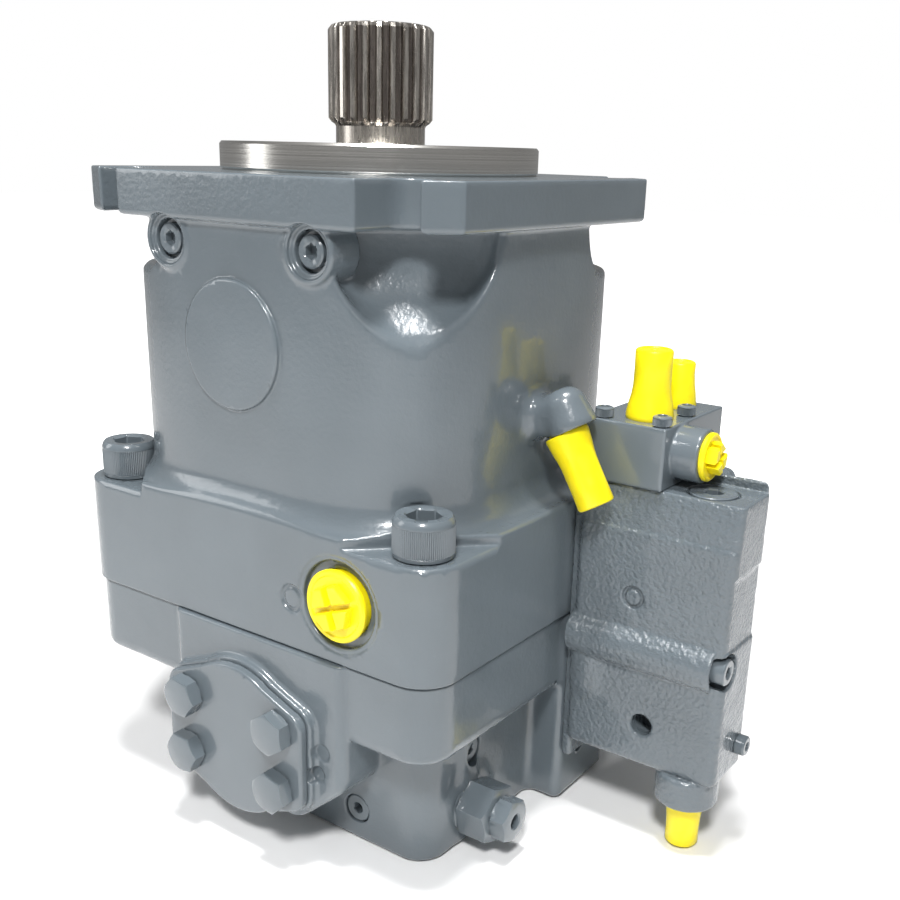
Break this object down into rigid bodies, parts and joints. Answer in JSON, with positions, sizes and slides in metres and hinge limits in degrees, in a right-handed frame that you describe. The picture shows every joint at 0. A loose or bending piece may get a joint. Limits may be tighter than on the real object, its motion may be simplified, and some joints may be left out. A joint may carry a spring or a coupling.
{
  "type": "axial piston pump",
  "caption": "Variable displacement axial piston pump with a splined shaft, four-bolt flange, port plate and side-mounted control valve.",
  "frame": {"origin": "centre of the mounting flange face, on the drive shaft axis", "axes": "+Z along the drive shaft, out of the pump; +X towards the control valve; -Y towards the pressure port cover"},
  "size_m": [0.3148, 0.2265, 0.3773],
  "materials": {
    "blue_grey_enamel": "gloss enamel over cast iron",
    "black_rubber": "matte",
    "yellow_plastic": "satin moulded plastic",
    "bare_iron": "machined",
    "bronze": "machined",
    "machined_steel": "turned and ground"
  },
  "bodies": {
    "casing": {"housing": "blue_grey_enamel", "port_plate": "blue_grey_enamel", "joint_seal": "black_rubber", "shaft_seal": "black_rubber", "seal_snap_ring": "machined_steel", "front_bearing_cup": "machined_steel", "rear_bearing_cup": "machined_steel", "valve_plate": "bronze", "cradle_shells": "bronze", "counter_spring": "machined_steel", "casing_screws": "blue_grey_enamel", "housing_plugs": "blue_grey_enamel", "drain_plug": "yellow_plastic", "port_cover": "blue_grey_enamel", "port_cover_bolts": "blue_grey_enamel", "port_plate_plugs": "blue_grey_enamel", "relief_valve": "blue_grey_enamel", "valve_body": "blue_grey_enamel", "spool_spring": "machined_steel", "valve_plugs": "blue_grey_enamel", "pilot_block": "blue_grey_enamel", "pilot_screws": "machined_steel", "tube_caps": "yellow_plastic", "nose_cap": "yellow_plastic", "bottom_cap": "yellow_plastic", "bleed_cap": "yellow_plastic"},
    "rotating_group": {"drive_shaft": "machined_steel", "front_bearing_cone": "machined_steel", "rear_bearing_cone": "machined_steel", "cylinder_block": "bare_iron", "guide_ball": "machined_steel", "block_spring": "machined_steel"},
    "front_rollers": {"front_bearing_rollers": "machined_steel"},
    "rear_rollers": {"rear_bearing_rollers": "machined_steel"},
    "swashplate": {"swashplate": "bare_iron"},
    "retaining_plate": {"retaining_plate": "machined_steel"},
    "stroking_piston": {"stroking_piston": "machined_steel"},
    "counter_piston": {"counter_piston": "machined_steel"},
    "control_spool": {"control_spool": "machined_steel"},
    "pressure_spool": {"pressure_spool": "machined_steel"},
    "adjusting_screw": {"adjusting_screw": "machined_steel"},
    "spring_seat": {"spring_seat": "machined_steel"},
    "slipper_1": {"slipper_1": "bronze"},
    "slipper_2": {"slipper_2": "bronze"},
    "slipper_3": {"slipper_3": "bronze"},
    "slipper_4": {"slipper_4": "bronze"},
    "slipper_5": {"slipper_5": "bronze"},
    "slipper_6": {"slipper_6": "bronze"},
    "slipper_7": {"slipper_7": "bronze"},
    "slipper_8": {"slipper_8": "bronze"},
    "slipper_9": {"slipper_9": "bronze"},
    "piston_1": {"piston_1": "machined_steel"},
    "piston_2": {"piston_2": "machined_steel"},
    "piston_3": {"piston_3": "machined_steel"},
    "piston_4": {"piston_4": "machined_steel"},
    "piston_5": {"piston_5": "machined_steel"},
    "piston_6": {"piston_6": "machined_steel"},
    "piston_7": {"piston_7": "machined_steel"},
    "piston_8": {"piston_8": "machined_steel"},
    "piston_9": {"piston_9": "machined_steel"}
  },
  "joints": [
    {"name": "shaft_spin", "type": "hinge", "parent": "casing", "child": "rotating_group", "pos_m": [0, 0, 0], "axis": [0, 0, 1], "continuous": true},
    {"name": "swash_tilt", "type": "hinge", "parent": "casing", "child": "swashplate", "pos_m": [0, 0, -0.092], "axis": [1, 0, 0], "range_deg": [0, 15]},
    {"name": "front_roller_orbit", "type": "hinge", "parent": "casing", "child": "front_rollers", "pos_m": [0, 0, 0], "axis": [0, 0, 1], "continuous": true},
    {"name": "rear_roller_orbit", "type": "hinge", "parent": "casing", "child": "rear_rollers", "pos_m": [0, 0, 0], "axis": [0, 0, 1], "continuous": true},
    {"name": "retaining_plate_spin", "type": "hinge", "parent": "swashplate", "child": "retaining_plate", "pos_m": [0, 0, -0.092], "axis": [0, 0, 1], "continuous": true},
    {"name": "slipper_1_turn", "type": "hinge", "parent": "retaining_plate", "child": "slipper_1", "pos_m": [0.05492, 0, -0.092], "axis": [0, 0, 1], "continuous": true},
    {"name": "piston_1_swivel", "type": "hinge", "parent": "slipper_1", "child": "piston_1", "pos_m": [0.05492, 0, -0.092], "axis": [1, 0, 0], "range_deg": [-15, 0]},
    {"name": "slipper_2_turn", "type": "hinge", "parent": "retaining_plate", "child": "slipper_2", "pos_m": [0.04207, 0.0353, -0.092], "axis": [0, 0, 1], "continuous": true},
    {"name": "piston_2_swivel", "type": "hinge", "parent": "slipper_2", "child": "piston_2", "pos_m": [0.04207, 0.0353, -0.092], "axis": [1, 0, 0], "range_deg": [-15, 0]},
    {"name": "slipper_3_turn", "type": "hinge", "parent": "retaining_plate", "child": "slipper_3", "pos_m": [0.00954, 0.05409, -0.092], "axis": [0, 0, 1], "continuous": true},
    {"name": "piston_3_swivel", "type": "hinge", "parent": "slipper_3", "child": "piston_3", "pos_m": [0.00954, 0.05409, -0.092], "axis": [1, 0, 0], "range_deg": [-15, 0]},
    {"name": "slipper_4_turn", "type": "hinge", "parent": "retaining_plate", "child": "slipper_4", "pos_m": [-0.02746, 0.04756, -0.092], "axis": [0, 0, 1], "continuous": true},
    {"name": "piston_4_swivel", "type": "hinge", "parent": "slipper_4", "child": "piston_4", "pos_m": [-0.02746, 0.04756, -0.092], "axis": [1, 0, 0], "range_deg": [-15, 0]},
    {"name": "slipper_5_turn", "type": "hinge", "parent": "retaining_plate", "child": "slipper_5", "pos_m": [-0.05161, 0.01878, -0.092], "axis": [0, 0, 1], "continuous": true},
    {"name": "piston_5_swivel", "type": "hinge", "parent": "slipper_5", "child": "piston_5", "pos_m": [-0.05161, 0.01878, -0.092], "axis": [1, 0, 0], "range_deg": [-15, 0]},
    {"name": "slipper_6_turn", "type": "hinge", "parent": "retaining_plate", "child": "slipper_6", "pos_m": [-0.05161, -0.01878, -0.092], "axis": [0, 0, 1], "continuous": true},
    {"name": "piston_6_swivel", "type": "hinge", "parent": "slipper_6", "child": "piston_6", "pos_m": [-0.05161, -0.01878, -0.092], "axis": [1, 0, 0], "range_deg": [-15, 0]},
    {"name": "slipper_7_turn", "type": "hinge", "parent": "retaining_plate", "child": "slipper_7", "pos_m": [-0.02746, -0.04756, -0.092], "axis": [0, 0, 1], "continuous": true},
    {"name": "piston_7_swivel", "type": "hinge", "parent": "slipper_7", "child": "piston_7", "pos_m": [-0.02746, -0.04756, -0.092], "axis": [1, 0, 0], "range_deg": [-15, 0]},
    {"name": "slipper_8_turn", "type": "hinge", "parent": "retaining_plate", "child": "slipper_8", "pos_m": [0.00954, -0.05409, -0.092], "axis": [0, 0, 1], "continuous": true},
    {"name": "piston_8_swivel", "type": "hinge", "parent": "slipper_8", "child": "piston_8", "pos_m": [0.00954, -0.05409, -0.092], "axis": [1, 0, 0], "range_deg": [-15, 0]},
    {"name": "slipper_9_turn", "type": "hinge", "parent": "retaining_plate", "child": "slipper_9", "pos_m": [0.04207, -0.0353, -0.092], "axis": [0, 0, 1], "continuous": true},
    {"name": "piston_9_swivel", "type": "hinge", "parent": "slipper_9", "child": "piston_9", "pos_m": [0.04207, -0.0353, -0.092], "axis": [1, 0, 0], "range_deg": [-15, 0]},
    {"name": "stroking_slide", "type": "slide", "parent": "casing", "child": "stroking_piston", "axis": [0, 0, 1], "range_m": [-0.01754, 0]},
    {"name": "counter_slide", "type": "slide", "parent": "casing", "child": "counter_piston", "axis": [0, 0, 1], "range_m": [0, 0.01754], "deforming": ["counter_spring"]},
    {"name": "control_spool_slide", "type": "slide", "parent": "casing", "child": "control_spool", "axis": [0, 0, 1], "range_m": [-0.003, 0.003], "deforming": ["spool_spring"]},
    {"name": "pressure_spool_slide", "type": "slide", "parent": "casing", "child": "pressure_spool", "axis": [1, 0, 0], "range_m": [-0.003, 0.003]},
    {"name": "adjusting_screw_turn", "type": "hinge", "parent": "casing", "child": "adjusting_screw", "pos_m": [0.155, 0.025, -0.1175], "axis": [1, 0, 0], "range_deg": [-360, 360]},
    {"name": "spring_seat_slide", "type": "slide", "parent": "casing", "child": "spring_seat", "axis": [1, 0, 0], "range_m": [-0.0015, 0.0015]}
  ],
  "couplings": [
    {"joint": "front_roller_orbit", "follows": "shaft_spin", "ratio": 0.4408},
    {"joint": "rear_roller_orbit", "follows": "shaft_spin", "ratio": 0.4351},
    {"joint": "retaining_plate_spin", "follows": "shaft_spin", "ratio": 1},
    {"joint": "slipper_1_turn", "follows": "shaft_spin", "ratio": -1},
    {"joint": "piston_1_swivel", "follows": "swash_tilt", "ratio": -1},
    {"joint": "slipper_2_turn", "follows": "shaft_spin", "ratio": -1},
    {"joint": "piston_2_swivel", "follows": "swash_tilt", "ratio": -1},
    {"joint": "slipper_3_turn", "follows": "shaft_spin", "ratio": -1},
    {"joint": "piston_3_swivel", "follows": "swash_tilt", "ratio": -1},
    {"joint": "slipper_4_turn", "follows": "shaft_spin", "ratio": -1},
    {"joint": "piston_4_swivel", "follows": "swash_tilt", "ratio": -1},
    {"joint": "slipper_5_turn", "follows": "shaft_spin", "ratio": -1},
    {"joint": "piston_5_swivel", "follows": "swash_tilt", "ratio": -1},
    {"joint": "slipper_6_turn", "follows": "shaft_spin", "ratio": -1},
    {"joint": "piston_6_swivel", "follows": "swash_tilt", "ratio": -1},
    {"joint": "slipper_7_turn", "follows": "shaft_spin", "ratio": -1},
    {"joint": "piston_7_swivel", "follows": "swash_tilt", "ratio": -1},
    {"joint": "slipper_8_turn", "follows": "shaft_spin", "ratio": -1},
    {"joint": "piston_8_swivel", "follows": "swash_tilt", "ratio": -1},
    {"joint": "slipper_9_turn", "follows": "shaft_spin", "ratio": -1},
    {"joint": "piston_9_swivel", "follows": "swash_tilt", "ratio": -1},
    {"joint": "stroking_slide", "follows": "swash_tilt", "m_per_rad": -0.067},
    {"joint": "counter_slide", "follows": "swash_tilt", "m_per_rad": 0.067},
    {"joint": "spring_seat_slide", "follows": "adjusting_screw_turn", "m_per_rad": 0.000238}
  ]
}
